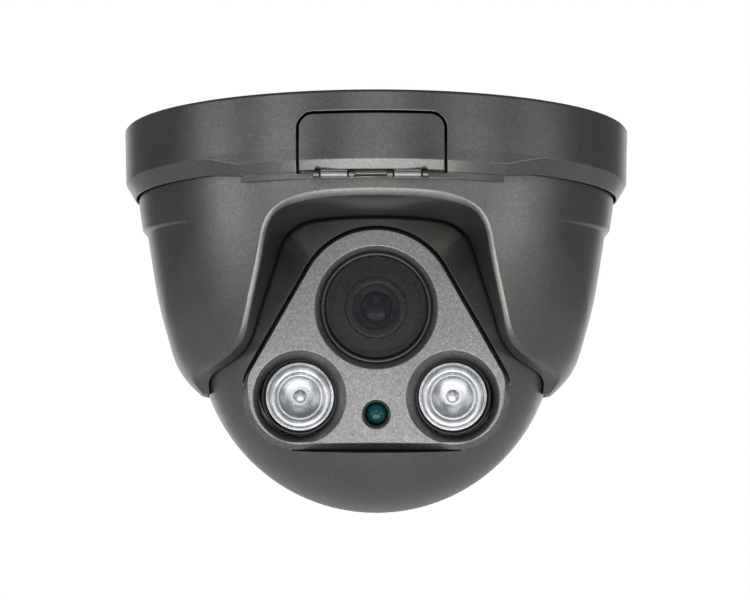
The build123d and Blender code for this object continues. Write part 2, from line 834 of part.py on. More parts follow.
def board_connector(u, pins):
    """White header on the rear of the main board."""
    half = pins * 0.75 + 1.0
    low = MAIN_BOARD_D - 5.2
    body = block((u - half, u + half), (LENS_V + 13.4, LENS_V + 18.2), (low, MAIN_BOARD_D))
    mouth = (u - half + 0.7, u + half - 0.7)
    body -= block(mouth, (LENS_V + 14.1, LENS_V + 17.5), (low - 1, low + 4))
    return in_ball(body)


def board_ribbon():
    """Flat cable from the rear of the IR board round the side of the stack to the main board."""
    path = [(24.2, 18.4), (24.2, -2.0), (21.0, -6.2), (19.65, -9.2)]
    outer = [(u, 0, d) for u, d in path]
    inner = [(u - 0.6, 0, d) for u, d in reversed(path)]
    strip = make_face(Polyline(*outer, *inner, close=True))
    return in_ball(extrude(strip, amount=4.0, both=True))


SINGLE = (
    mounting_plate, base_ring, ceiling_gasket, cable_grommet, ring_screws, lock_screw,
    door_hinge_pin, pan_friction_ring, pan_retainer_ring, retainer_screws, access_door,
    door_hinge_tabs, dome_shell, ball_front, ball_rear, ball_seal, ball_screws,
    ball_cable_gland, face_plate, window_ring, window_glass, window_gasket, lens_shroud,
    lens_holder, holder_screws, sensor_board, image_sensor, filter_frame, filter_coil,
    lens_barrel, lens_front_element, focus_lock_ring, heat_sink, heat_sink_screws, ir_board,
    light_sensor, main_board, board_standoffs, board_screws, image_processor, board_ribbon,
)
PAIRED = (tilt_bushing, tilt_pivot, tilt_washer, array_led, led_lens, led_seal)

if __name__ == "__main__":
    os.makedirs("parts", exist_ok=True)
    for maker in SINGLE:
        save(maker.__name__, maker())
    for maker in PAIRED:
        save(f"{maker.__name__}_left", maker(-1))
        save(f"{maker.__name__}_right", maker(1))
    save("ir_filter", filter_window(SLIDE))
    save("clear_filter", filter_window(-SLIDE))
    save("video_connector", board_connector(-4.5, 6))
    save("power_connector", board_connector(5.6, 4))
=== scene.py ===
import json
import math

import bmesh
import bpy
import numpy as np
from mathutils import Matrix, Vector


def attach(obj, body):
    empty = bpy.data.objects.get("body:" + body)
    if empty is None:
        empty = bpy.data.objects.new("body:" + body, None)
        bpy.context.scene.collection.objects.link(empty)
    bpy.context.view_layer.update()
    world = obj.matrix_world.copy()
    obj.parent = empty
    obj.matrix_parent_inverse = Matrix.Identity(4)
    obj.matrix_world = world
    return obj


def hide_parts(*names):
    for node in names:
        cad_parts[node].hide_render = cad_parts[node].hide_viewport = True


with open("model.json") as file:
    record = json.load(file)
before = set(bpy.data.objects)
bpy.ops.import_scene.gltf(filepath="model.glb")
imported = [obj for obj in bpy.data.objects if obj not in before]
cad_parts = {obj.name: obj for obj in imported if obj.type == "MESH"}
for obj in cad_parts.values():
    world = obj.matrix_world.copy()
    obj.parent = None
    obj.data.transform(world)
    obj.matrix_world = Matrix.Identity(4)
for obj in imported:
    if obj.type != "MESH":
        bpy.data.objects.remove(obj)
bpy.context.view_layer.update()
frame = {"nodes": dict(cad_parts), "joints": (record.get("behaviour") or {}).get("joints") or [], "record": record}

MM = 0.001
JOINTS = {joint["name"]: joint for joint in frame["joints"]}
BALL = np.array(JOINTS["tilt"]["pos_m"]) / MM          # centre of the ball
REST_TILT = math.radians(5.5)                          # lens below the horizontal
FACE_N = np.array([0, -math.cos(REST_TILT), -math.sin(REST_TILT)])
FACE_V = np.array([0, -math.sin(REST_TILT), math.cos(REST_TILT)])
FACE_U = np.array([1.0, 0, 0])


# --- small helpers ----------------------------------------------------------------------
SAMPLES_PER_POINT = 40   # steps between two points of a path when its length is measured
WELD = 1e-6              # metres
replaced_nodes = set()   # CAD nodes that already have a piece in their place


def smooth_step(value, low, high):
    share = np.clip((np.asarray(value, float) - low) / (high - low), 0, 1)
    return share * share * (3 - 2 * share)


def spline(points):
    """Natural cubic spline through (x, y) points, as a function of x."""
    x, y = np.array(points, float).T
    step = np.diff(x)
    count = len(x)
    matrix = np.eye(count)
    target = np.zeros(count)
    for i in range(1, count - 1):
        matrix[i, i - 1:i + 2] = step[i - 1], 2 * (step[i - 1] + step[i]), step[i]
        target[i] = 6 * ((y[i + 1] - y[i]) / step[i] - (y[i] - y[i - 1]) / step[i - 1])
    curvature = np.linalg.solve(matrix, target)

    def value(at):
        at = np.asarray(at, float)
        i = np.clip(np.searchsorted(x, at) - 1, 0, count - 2)
        past, ahead = at - x[i], x[i + 1] - at
        bend = (curvature[i] * ahead**3 + curvature[i + 1] * past**3) / (6 * step[i])
        from_low = (y[i] / step[i] - curvature[i] * step[i] / 6) * ahead
        from_high = (y[i + 1] / step[i] - curvature[i + 1] * step[i] / 6) * past
        return bend + from_low + from_high

    return value


def path(points, count, scale):
    """Points evenly spaced along a spline through the given points, lengths taken in scaled units."""
    points = np.array(points, float)
    steps = np.linalg.norm(np.diff(points * scale, axis=0), axis=1)
    length = np.concatenate([[0], np.cumsum(steps)])
    curves = [spline(list(zip(length, points[:, k]))) for k in range(points.shape[1])]
    fine = np.linspace(0, length[-1], SAMPLES_PER_POINT * len(points))
    dense = np.stack([curve(fine) for curve in curves], 1)
    steps = np.linalg.norm(np.diff(dense * scale, axis=0), axis=1)
    along = np.concatenate([[0], np.cumsum(steps)])
    even = np.linspace(0, along[-1], count)
    return np.stack([np.interp(even, along, dense[:, k]) for k in range(points.shape[1])], 1)


def unit(vectors):
    return vectors / np.linalg.norm(vectors, axis=-1, keepdims=True)


def piece(name, vertices, faces, body, material, sharp, replaced):
    """Mesh object from points in millimetres, riding on a body in place of a CAD node."""
    mesh = bpy.data.meshes.new(name)
    mesh.from_pydata((np.asarray(vertices, float) * MM).tolist(), [], faces)
    mesh.validate()
    return finish_piece(name, mesh, body, material, sharp, replaced)


def finish_piece(name, mesh, body, material, sharp, replaced):
    fix = bmesh.new()
    fix.from_mesh(mesh)
    bmesh.ops.remove_doubles(fix, verts=fix.verts, dist=WELD)
    bmesh.ops.recalc_face_normals(fix, faces=fix.faces)
    fix.to_mesh(mesh)
    fix.free()
    mesh.polygons.foreach_set("use_smooth", [True] * len(mesh.polygons))
    mesh.set_sharp_from_angle(angle=math.radians(sharp))
    mesh.materials.clear()
    mesh.materials.append(material)
    obj = bpy.data.objects.new(name, mesh)
    bpy.context.scene.collection.objects.link(obj)
    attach(obj, body)
    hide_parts(replaced)
    replaced_nodes.add(replaced)
    return obj


def grid_faces(rows, columns, close_rows):
    """Quads of a grid stored row by row, whose last column joins the first."""
    faces = []
    for i in range(rows if close_rows else rows - 1):
        low, high = i * columns, (i + 1) % rows * columns
        for j in range(columns):
            k = (j + 1) % columns
            faces.append((low + j, low + k, high + k, high + j))
    return faces


# --- materials --------------------------------------------------------------------------
class Shader:
    """A node material with a Principled shader, built up by short calls."""

    def __init__(self, name, **values):
        self.material = bpy.data.materials.new(name)
        self.material.use_nodes = True
        self.tree = self.material.node_tree
        self.tree.nodes.clear()
        out = self.tree.nodes.new("ShaderNodeOutputMaterial")
        self.principled = self.tree.nodes.new("ShaderNodeBsdfPrincipled")
        self.tree.links.new(self.principled.outputs[0], out.inputs[0])
        self.set(self.principled, **values)
        self.place = self.tree.nodes.new("ShaderNodeTexCoord").outputs["Object"]

    def set(self, node, **values):
        for key, value in values.items():
            node.inputs[key.replace("_", " ")].default_value = value
        return node

    def link(self, output, node, key):
        self.tree.links.new(output, node.inputs[key])

    def noise(self, size, detail, rough=0.5):
        """Noise whose features are about size millimetres across."""
        node = self.tree.nodes.new("ShaderNodeTexNoise")
        self.set(node, Scale=1 / (size * MM), Detail=detail, Roughness=rough)
        self.link(self.place, node, "Vector")
        return node.outputs["Fac"]

    def flake(self, size):
        """Random value of each cell, cells about size millimetres across."""
        node = self.tree.nodes.new("ShaderNodeTexVoronoi")
        self.set(node, Scale=1 / (size * MM))
        self.link(self.place, node, "Vector")
        split = self.tree.nodes.new("ShaderNodeSeparateColor")
        self.link(node.outputs["Color"], split, 0)
        return split.outputs[0]

    def ramp(self, value, *stops):
        """Colour ramp over (place, colour) stops; a colour may be one grey value."""
        node = self.tree.nodes.new("ShaderNodeValToRGB")
        elements = node.color_ramp.elements
        while len(elements) < len(stops):
            elements.new(0.5)
        for element, (place, colour) in zip(elements, stops):
            element.position = place
            if not isinstance(colour, tuple):
                colour = (colour,) * 3
            element.color = (*colour, 1)
        self.link(value, node, "Fac")
        return node.outputs["Color"]

    def multiply(self, first, second):
        node = self.tree.nodes.new("ShaderNodeMix")
        node.data_type = "RGBA"
        node.blend_type = "MULTIPLY"
        node.inputs[0].default_value = 1.0
        self.tree.links.new(first, node.inputs[6])
        self.tree.links.new(second, node.inputs[7])
        return node.outputs[2]

    def colour(self, value):
        self.link(value, self.principled, "Base Color")

    def rough(self, value, low, high):
        self.link(self.ramp(value, (0.3, low), (0.7, high)), self.principled, "Roughness")

    def bump(self, value, depth):
        """Bump of depth millimetres."""
        node = self.tree.nodes.new("ShaderNodeBump")
        self.set(node, Strength=1.0, Distance=depth * MM)
        self.link(value, node, "Height")
        self.link(node.outputs["Normal"], self.principled, "Normal")


CLOUD = 14.0             # size of the lacquer's cloudiness, in millimetres
MOTTLE = 0.7             # size of its fine mottling
GLOSS_PATCH = 0.5        # size of its patches of uneven gloss


def paint(name, dark, light, metallic, low, high, grain, depth):
    """Metallic lacquer: flake from dark to light, slight cloudiness, roughness low to high, fine bump."""
    s = Shader(name, Metallic=metallic, Coat_Weight=0.06, Coat_Roughness=0.3)
    brightest = tuple(channel * 1.2 for channel in light)
    flake = s.ramp(s.flake(grain), (0.0, dark), (0.85, light), (1.0, brightest))
    cloud = s.ramp(s.noise(CLOUD, 3.0), (0.3, 0.86), (0.7, 1.0))
    fine = s.ramp(s.noise(MOTTLE, 3.0, 0.6), (0.3, 0.88), (0.7, 1.0))
    s.colour(s.multiply(s.multiply(flake, cloud), fine))
    s.rough(s.noise(GLOSS_PATCH, 2.0), low, high)
    s.bump(s.noise(grain * 1.3, 2.0, 0.6), depth)
    return s.material


def plain(name, dark, light, low, high, size, depth, **values):
    """Moulded or turned surface: tones dark to light, roughness low to high, and a fine grain."""
    s = Shader(name, **values)
    s.colour(s.ramp(s.noise(size * 6, 3.0), (0.3, dark), (0.7, light)))
    s.rough(s.noise(size * 3, 2.0), low, high)
    s.bump(s.noise(size, 3.0, 0.6), depth)
    return s.material


graphite = paint(
    "graphite_paint", (0.145, 0.147, 0.14), (0.185, 0.185, 0.175), 0.95, 0.3, 0.36, 0.2, 0.002
)
face_grey = paint(
    "face_paint", (0.15, 0.15, 0.149), (0.235, 0.235, 0.232), 0.9, 0.34, 0.42, 0.26, 0.004
)
# Dark steel for the hinge pin, darkened further as painted shade so the pin reads as the shade inside the door's
# gap.
pin_gap_shade = plain("pin_steel_painted_gap_shade", 0.012, 0.02, 0.5, 0.6, 0.3, 0.002, Metallic=0.8)
black_gloss = plain("black_gloss", 0.004, 0.007, 0.24, 0.34, 0.6, 0.002, Coat_Weight=0.1)
MATERIALS = {
    "graphite_paint": graphite,
    "face_paint": face_grey,
    "black_plastic": plain("black_plastic", 0.006, 0.011, 0.24, 0.36, 0.4, 0.004),
    "black_rubber": plain("black_rubber", 0.006, 0.012, 0.3, 0.5, 0.5, 0.006),
    "window_glass": plain(
        "window_glass", (0.02, 0.02, 0.024), (0.03, 0.03, 0.034), 0.16, 0.3, 6.0, 0.0003,
        Alpha=0.25, Specular_IOR_Level=0.08,
    ),
    "lens_glass": plain(
        "lens_glass", (0.006, 0.005, 0.012), (0.01, 0.007, 0.02), 0.03, 0.06, 2.0, 0.0005,
        Specular_IOR_Level=0.2, Coat_Weight=0.04, Coat_Tint=(0.7, 0.55, 1.0, 1.0),
    ),
    "led_lens": plain(
        "led_lens", (0.25, 0.26, 0.27), (0.5, 0.51, 0.525), 0.16, 0.34, 0.7, 0.03, Metallic=0.6,
    ),
    "led_chip": plain("led_chip", (0.6, 0.55, 0.3), (0.75, 0.7, 0.4), 0.4, 0.6, 0.5, 0.004),
    "screw_steel": plain("screw_steel", 0.45, 0.6, 0.22, 0.34, 0.3, 0.002, Metallic=1.0),
    "bushing_brass": plain(
        "bushing_brass", (0.6, 0.42, 0.15), (0.75, 0.55, 0.24), 0.2, 0.35, 0.3, 0.002, Metallic=1.0
    ),
    "washer_nylon": plain("washer_nylon", 0.6, 0.72, 0.4, 0.55, 0.5, 0.004),
    "hinge_grey": plain("hinge_grey", 0.25, 0.31, 0.3, 0.4, 0.4, 0.003, Metallic=0.4),
    "heat_sink_metal": plain("heat_sink_metal", 0.5, 0.64, 0.35, 0.5, 0.4, 0.006, Metallic=1.0),
    "circuit_board": plain(
        "circuit_board", (0.008, 0.07, 0.02), (0.012, 0.11, 0.035), 0.25, 0.4, 0.8, 0.006
    ),
    "chip_black": plain("chip_black", 0.01, 0.016, 0.35, 0.5, 0.3, 0.003),
    "connector_white": plain("connector_white", 0.6, 0.7, 0.35, 0.5, 0.5, 0.003),
    "filter_black": plain("filter_black", 0.008, 0.012, 0.4, 0.5, 0.4, 0.003),
    "filter_red": plain(
        "filter_red", (0.1, 0.01, 0.015), (0.14, 0.015, 0.02), 0.03, 0.06, 2.0, 0.001
    ),
    "filter_clear": plain("filter_clear", 0.55, 0.62, 0.03, 0.06, 2.0, 0.001),
    "sensor_green": plain(
        "sensor_green", (0.0, 0.03, 0.034), (0.002, 0.09, 0.1), 0.08, 0.14, 0.8, 0.004,
        Specular_IOR_Level=0.3, Coat_Weight=0.15, Coat_Roughness=0.08,
    ),
}
SLOT_OF = {part["node"]: part["material_slot"] for part in frame["record"]["subparts"]}
BODY_OF = {
    node: body for body, nodes in frame["record"]["behaviour"]["bodies"].items() for node in nodes
}


# --- CAD nodes shown by their own mesh --------------------------------------------------
MERGE_ANGLE = 0.6        # degrees between two faces that are merged into one
LEVEL = 0.99999          # least upward share of the normal of a level face
STEEP = 0.9              # most upward share of the normal of a turned wall
SLIVER = 1e-7            # square metres
ON_PLATE = 0.9999        # least cosine between a face's normal and the plate's
ON_BALL = 0.03           # millimetres that a face's corners may be off the sphere
CLOSE = 0.995            # least cosine between a face's normal and the exact one


def vectors_of(items, key):
    values = np.empty(3 * len(items))
    items.foreach_get(key, values)
    return values.reshape(-1, 3)


def true_normals(mesh, surface):
    """Shade level faces flat, and turned walls, the ball or the plate along their exact surface."""
    place = vectors_of(mesh.vertices, "co") / MM
    corner = vectors_of(mesh.corner_normals, "vector")
    sides = np.empty(len(mesh.polygons), int)
    mesh.polygons.foreach_get("loop_total", sides)
    facing = np.repeat(vectors_of(mesh.polygons, "normal"), sides, axis=0)
    level = np.abs(facing[:, 2]) > LEVEL
    corner[level] = facing[level]
    if surface:
        for face in mesh.polygons:
            shade_exactly(face, surface, place[list(face.vertices)], corner)
    mesh.normals_split_custom_set(corner.tolist())


def shade_exactly(face, surface, spots, corner):
    """Give a face's corners the exact normals of the surface, if the face lies on it."""
    flat = np.array(face.normal)
    if surface == "sphere":
        exact = unit(spots - BALL)
        lies_on_it = np.ptp(np.linalg.norm(spots - BALL, axis=1)) < ON_BALL
    elif surface == "flat":
        exact = np.repeat(flat[None], len(spots), 0)
        lies_on_it = flat @ FACE_N > ON_PLATE
    else:
        outward = unit(spots * (1, 1, 0))
        exact = outward * math.sqrt(max(0, 1 - flat[2] ** 2)) + (0, 0, flat[2])
        lies_on_it = face.area > SLIVER and abs(flat[2]) < STEEP
    if lies_on_it and np.all(exact @ flat > CLOSE):
        corner[list(face.loop_indices)] = exact


def softened(obj, bevel, sharp):
    """Mesh of the object with its flat faces merged and its sharp edges bevelled."""
    merge = obj.modifiers.new("merge", "DECIMATE")
    merge.decimate_type = "DISSOLVE"
    merge.angle_limit = math.radians(MERGE_ANGLE)
    edge = obj.modifiers.new("edge", "BEVEL")
    edge.width = bevel * MM
    edge.segments = 2
    edge.limit_method = "ANGLE"
    edge.angle_limit = math.radians(sharp)
    edge.harden_normals = True
    edge.use_clamp_overlap = False
    depsgraph = bpy.context.evaluated_depsgraph_get()
    mesh = bpy.data.meshes.new_from_object(obj.evaluated_get(depsgraph))
    obj.modifiers.clear()
    return mesh


def copy_of(node, bevel, sharp, surface, material):
    """The CAD node's own mesh in its place, smoothly shaded, with softened edges if it has a bevel."""
    mesh = frame["nodes"][node].data.copy()
    obj = finish_piece(node + "_look", mesh, BODY_OF[node], material, sharp, node)
    if bevel:
        obj.data = softened(obj, bevel, sharp)
    true_normals(obj.data, surface)


# --- bowl -------------------------------------------------------------------------------
SEAT_R = 43.0            # spherical seat round the ball
BAND_TOP = -11.0         # top of the bowl
FLANGE_LOW = -13.4
HUB_R = 44.05            # bore that turns on the journal
LIP_FOOT = -63.1
LIP_BACK = (42.05, -57.4)                              # radius and height behind the lip
INNER_LOW = -57.2        # foot of the inside of the skin
TOP_R = 56.7

# Outside of the bowl as (height, radius): smooth in front, under the step elsewhere.
smooth_r = spline([
    (-64.5, 39.9), (-63.1, 41.8), (-61.3, 43.8), (-58.2, 46.4), (-54.7, 48.2), (-51.2, 49.4),
    (-47.0, 50.8), (-39.4, 52.9), (-32.0, 54.6), (-26.5, 55.6), (-23.0, 56.1), (-17.0, 56.9),
    (-14.0, 56.9), (-11.0, 56.9),
])
stepped_r = spline([
    (-64.5, 39.7), (-63.1, 41.6), (-61.3, 43.6), (-58.2, 46.2), (-54.7, 48.0), (-51.2, 49.1),
    (-47.0, 50.35), (-39.4, 52.2), (-32.0, 53.5), (-28.0, 54.15), (-25.0, 54.6),
])
inner_r = spline([
    (-57.2, 43.7), (-54.7, 45.5), (-51.2, 46.9), (-47.0, 48.1), (-39.4, 50.0), (-32.0, 51.5),
    (-27.0, 52.5), (-24.0, 54.2), (-22.0, 54.4), (-13.4, 54.4),
])
STEP_TOP = -22.4         # the chamfer under the band runs from here
STEP_FOOT = -25.5
CHAMFER_R = (56.9, 54.5)
STEP_SHIFT = 1.8

# Edge of the notch on the bowl's skin, right half from the top: (degrees from the front, height).
RIM = [
    (0, -20.9), (7.0, -21.0), (13.4, -21.35), (18.2, -22.1), (21.8, -23.4), (24.5, -25.3),
    (26.3, -27.6), (27.5, -30.4), (28.5, -33.4), (29.9, -37.0), (31.6, -40.7), (33.3, -44.0),
    (35.2, -47.3), (37.4, -50.3), (40.3, -52.5), (44.6, -54.4), (51.6, -56.2), (59.1, -57.5),
    (66.0, -58.7), (71.5, -60.4), (75.5, -63.1),
]
RIM_COLUMNS = 200
BACK_COLUMNS = 64
SKIN_ROWS = 96
BAND_LOW = -22.0         # rows of the skin: the band ends here
CHAMFER_LOW = -26.5      # and the rows round the chamfer here
LEVEL_LOW = -27.0        # rows above this are level
SOFT = 0.3               # softening of the notch's edges
SOFT_LIP = 0.08          # and of the lip's
SEAT_WALL = 1.9          # thickness of the wall at the seat
PASSES = 60              # steps that bring the wall's back forward to the inside of the skin


def skin_r(turn, z):
    """Outer radius of the bowl at an angle from the front and a height."""
    share = (z - STEP_FOOT) / (STEP_TOP - STEP_FOOT)
    chamfer = CHAMFER_R[1] + (CHAMFER_R[0] - CHAMFER_R[1]) * share
    step = np.where(z > STEP_FOOT, chamfer, stepped_r(np.minimum(z, STEP_FOOT)))
    ahead = STEP_SHIFT * np.cos(turn) + np.sqrt(step**2 - (STEP_SHIFT * np.sin(turn)) ** 2)
    stepped = np.where(z > STEP_TOP, 99.0, np.maximum(step, ahead))
    return np.minimum(smooth_r(z), stepped)


def on_skin(turn, z, inward=0.0):
    r = skin_r(turn, z) - inward
    return np.stack([r * np.sin(turn), -r * np.cos(turn), z], -1)


def on_cylinder(turn, r, z):
    r, z = np.broadcast_to(r, turn.shape), np.broadcast_to(z, turn.shape)
    return np.stack([r * np.sin(turn), -r * np.cos(turn), z], -1)


def skin_normal(turn, z):
    d = 0.002
    across = on_skin(turn + d, z) - on_skin(turn - d, z)
    upward = on_skin(turn, z + 0.1) - on_skin(turn, z - 0.1)
    return unit(np.cross(across, upward))


def to_sphere(start, direction, radius):
    """Where a line first meets the sphere round the ball's centre."""
    offset = start - BALL
    b = np.sum(offset * direction, 1)
    c = np.sum(offset * offset, 1) - radius**2
    reach = -b - np.sqrt(np.maximum(b * b - c, 0))
    return start + direction * reach[:, None]


def bowl_half():
    """Rows of points for the right half of the bowl, one column per rim point."""
    middle_r = 50.0
    notch = path([(math.radians(turn), z) for turn, z in RIM], RIM_COLUMNS, (middle_r, 1.0))
    last = notch[-1, 0]
    share = np.linspace(0, 1, RIM_COLUMNS)
    notch_top = 0.5 * last * share + 0.5 * notch[:, 0]
    back = np.linspace(last, math.pi, BACK_COLUMNS + 1)[1:]
    turn = np.concatenate([notch[:, 0], back])
    foot = np.concatenate([notch[:, 1], np.full(BACK_COLUMNS, LIP_FOOT)])
    top = np.concatenate([notch_top, back])

    # frame of the rim: along it, out of the skin, and inward over the skin
    rim = on_skin(turn, foot)
    along = unit(np.gradient(rim, axis=0))
    along[0] = (1, 0, 0)
    along[-1] = (-1, 0, 0)
    out = skin_normal(turn, foot)
    inward = unit(np.cross(along, out))

    at_lip = smooth_step(turn, math.radians(66), math.radians(75))
    at_side = smooth_step(turn, math.radians(17), math.radians(25))
    at_flare = smooth_step(turn, math.radians(33), math.radians(42))
    width = (1.5 - 0.75 * at_side + 0.35 * at_flare) * (1 - at_lip) + 0.13 * at_lip
    depth = 0.95 * (1 - at_lip) + 0.13 * at_lip
    draft = np.radians(5.3 + 4.2 * at_side)

    rows = []
    # outer skin, from the top down to the rim; rows are level where the step is
    band = np.linspace(BAND_TOP, BAND_LOW, 14)
    chamfer = np.linspace(STEP_TOP, CHAMFER_LOW, 24)
    below = np.linspace(LEVEL_LOW, LIP_FOOT, SKIN_ROWS - len(band) - len(chamfer))
    fixed = np.concatenate([band, chamfer, below])[:, None]
    shrink = (foot - LEVEL_LOW) / (LIP_FOOT - LEVEL_LOW)
    level = np.where(fixed > LEVEL_LOW, fixed, LEVEL_LOW + (fixed - LEVEL_LOW) * shrink)
    even = BAND_TOP + (foot - BAND_TOP) * np.linspace(0, 1, SKIN_ROWS)[:, None]
    use_level = smooth_step(-foot, 36, 46)
    z_rows = even * (1 - use_level) + level * use_level
    fall = (z_rows - BAND_TOP) / (foot - BAND_TOP)
    turn_rows = top + (turn - top) * fall
    skin = [on_skin(turn_rows[i], z_rows[i]) for i in range(SKIN_ROWS)]
    soft = SOFT * (1 - at_lip) + SOFT_LIP * at_lip
    edge = rim - inward * soft[:, None]
    skin[-1] = on_skin(np.arctan2(edge[:, 0], -edge[:, 1]), edge[:, 2])
    skin[-2] = 0.5 * (skin[-3] + skin[-1])
    skin[-2] = on_skin(np.arctan2(skin[-2][:, 0], -skin[-2][:, 1]), skin[-2][:, 2])
    rows += skin

    # light bevel round the notch
    inner = rim + inward * width[:, None] - out * depth[:, None]
    slope = unit(inner - rim)
    rows.append(0.25 * skin[-1] + 0.5 * rim + 0.25 * (rim + slope * soft[:, None]))
    rows.append(rim + slope * soft[:, None])
    rows.append(0.5 * (rim + inner))
    rows.append(inner - slope * 0.8 * soft[:, None])

    # drafted wall, back to the spherical seat
    across = unit(inward * np.array([1, 0, 1]))
    radial = -unit(rim * np.array([1, 1, 0]))
    ahead = np.array([0, 1, 0]) + across * np.tan(draft)[:, None]
    to_axis = smooth_step(turn, math.radians(52), math.radians(70))[:, None]
    down = unit(ahead * (1 - to_axis) + radial * to_axis)
    seat = to_sphere(inner, down, SEAT_R)
    rows.append(0.25 * rows[-1] + 0.5 * inner + 0.25 * (inner + down * 0.8 * soft[:, None]))
    rows.append(inner + down * 0.8 * soft[:, None])
    first = rows[-1]
    for share in (0.25, 0.5, 0.75, 0.985):
        rows.append(first + (seat - first) * share)

    # back of the wall, along the seat and forward to the inside of the skin
    normal = unit(seat - BALL)
    away = -inward + normal * np.sum(inward * normal, 1)[:, None]
    behind = BALL + SEAT_R * unit(seat + unit(away) * SEAT_WALL - BALL)
    behind_lip = on_cylinder(turn, *LIP_BACK)
    corner_lip = on_cylinder(turn, inner_r(INNER_LOW), INNER_LOW)
    behind = behind * (1 - to_axis) + behind_lip * to_axis
    reach = np.zeros(len(turn))
    for _ in range(PASSES):
        spot = behind - down * reach[:, None]
        gap = inner_r(np.maximum(spot[:, 2], INNER_LOW)) - np.hypot(spot[:, 0], spot[:, 1])
        reach += gap * 0.6
    corner = behind - down * reach[:, None]
    corner = corner * (1 - to_axis) + corner_lip * to_axis
    rows.append(0.5 * (rows[-1] + behind))
    rows.append(behind)
    rows.append(0.5 * (behind + corner))
    rows.append(corner)

    # inside of the skin, flange and top
    corner_turn = np.arctan2(corner[:, 0], -corner[:, 1])
    for share in np.linspace(0, 1, 12)[1:]:
        turn_now = corner_turn + (top - corner_turn) * share
        z_now = corner[:, 2] + (FLANGE_LOW - corner[:, 2]) * share
        rows.append(on_cylinder(turn_now, inner_r(np.maximum(z_now, INNER_LOW)), z_now))
    rows.append(on_cylinder(top, HUB_R, FLANGE_LOW))
    rows.append(on_cylinder(top, HUB_R, BAND_TOP))
    rows.append(on_cylinder(top, TOP_R, BAND_TOP))
    return np.array(rows)


def bowl():
    half = bowl_half()
    half[:, 0, 0] = 0
    half[:, -1, 0] = 0
    mirror = half[:, -2:0:-1] * np.array([-1, 1, 1])
    rows = np.concatenate([half, mirror], 1)
    faces = grid_faces(rows.shape[0], rows.shape[1], close_rows=True)
    vertices = rows.reshape(-1, 3)
    piece("bowl", vertices, faces, "shell", graphite, 40.0, "dome_shell")


# --- face of the ball -------------------------------------------------------------------
# Places on the face are (across, up) from the ball's centre, and depths are along its normal.
FACE_D = 31.0            # front of the face plate
FACE_BACK = 27.9
LENS_PLACE = (0.0, 6.9)
LED_PLACES = ((-17.3, -13.3), (17.3, -13.3))
SENSOR_PLACE = (0.0, -17.2)
# Circles that the plate's outline runs round: across, up and radius.
CORNERS = ((*LENS_PLACE, 18.0), (-18.1, -13.05, 12.2), (18.1, -13.05, 12.2))
OUTLINE_POINTS = 180
# Edge of the plate from the back, and its holes from the front. The edge is (growth of the outline,
# depth), and a hole is (radius, depth).
PLATE_EDGE = (
    (0, FACE_BACK), (0, 29.6), (-0.03, 29.68), (-0.1, 29.76), (-1.38, 30.86), (-1.5, 30.95),
    (-1.66, FACE_D),
)
WINDOW_HOLE = (
    (14.1, FACE_D), (13.92, 30.95), (13.8, 30.84), (12.75, 29.75), (12.65, 29.55), (12.65, FACE_BACK),
)
SENSOR_HOLE = (
    (3.45, FACE_D), (3.3, 30.96), (3.2, 30.86), (2.72, 30.3), (2.65, 30.1), (2.65, FACE_BACK),
)
# Recess round each lamp: share of the shift outward, radius and depth, from the front.
LED_RECESS = (
    (0.0, 10.72, FACE_D), (0.0, 10.56, 30.96), (0.03, 10.44, 30.82), (0.97, 8.74, 28.6),
    (1.0, 8.66, 28.4), (1.0, 8.62, FACE_BACK),
)
LED_SHIFT = (0.62, -0.5)
HOLDER_SHIFT = (0.12, -0.1)


def in_face(points):
    """Points (u, v, depth) of the face's frame, in the model."""
    u, v, depth = np.moveaxis(np.asarray(points, float), -1, 0)[..., None]
    return BALL + u * FACE_U + v * FACE_V + depth * FACE_N


def circle(r, depth, centre, count=96):
    turn = np.linspace(0, 2 * math.pi, count, endpoint=False)
    u = centre[0] + r * np.cos(turn)
    v = centre[1] + r * np.sin(turn)
    return np.stack([u, v, np.full(count, float(depth))], 1)


def plate_outline(grow, depth):
    """Rounded triangle round three circles, whose growth is least on the upper sides."""
    turn = np.linspace(0, 2 * math.pi, OUTLINE_POINTS, endpoint=False) + math.pi / 2
    aim = np.stack([np.cos(turn), np.sin(turn)], 1)
    centres = np.array([corner[:2] for corner in CORNERS])
    radii = np.array([corner[2] for corner in CORNERS])
    pick = np.argmax(aim @ centres.T + radii, 1)
    share = 0.35 + 0.65 * smooth_step(-aim[:, 1], -0.5, 0.1)
    flat = centres[pick] + aim * (radii[pick] + grow * share)[:, None]
    return np.concatenate([flat, np.full((OUTLINE_POINTS, 1), float(depth))], 1)


def turned_piece(name, profile, centre, slot, replaced, sharp, material=None, body="ball"):
    """Closed turned piece on the face's frame from (radius, depth) points, closed on its axis."""
    rows = np.array([circle(r, depth, centre) for r, depth in profile])
    closed = profile[0][0] > 0
    faces = grid_faces(rows.shape[0], rows.shape[1], close_rows=closed)
    points = in_face(rows).reshape(-1, 3)
    piece(name, points, faces, body, material or MATERIALS[slot], sharp, replaced)


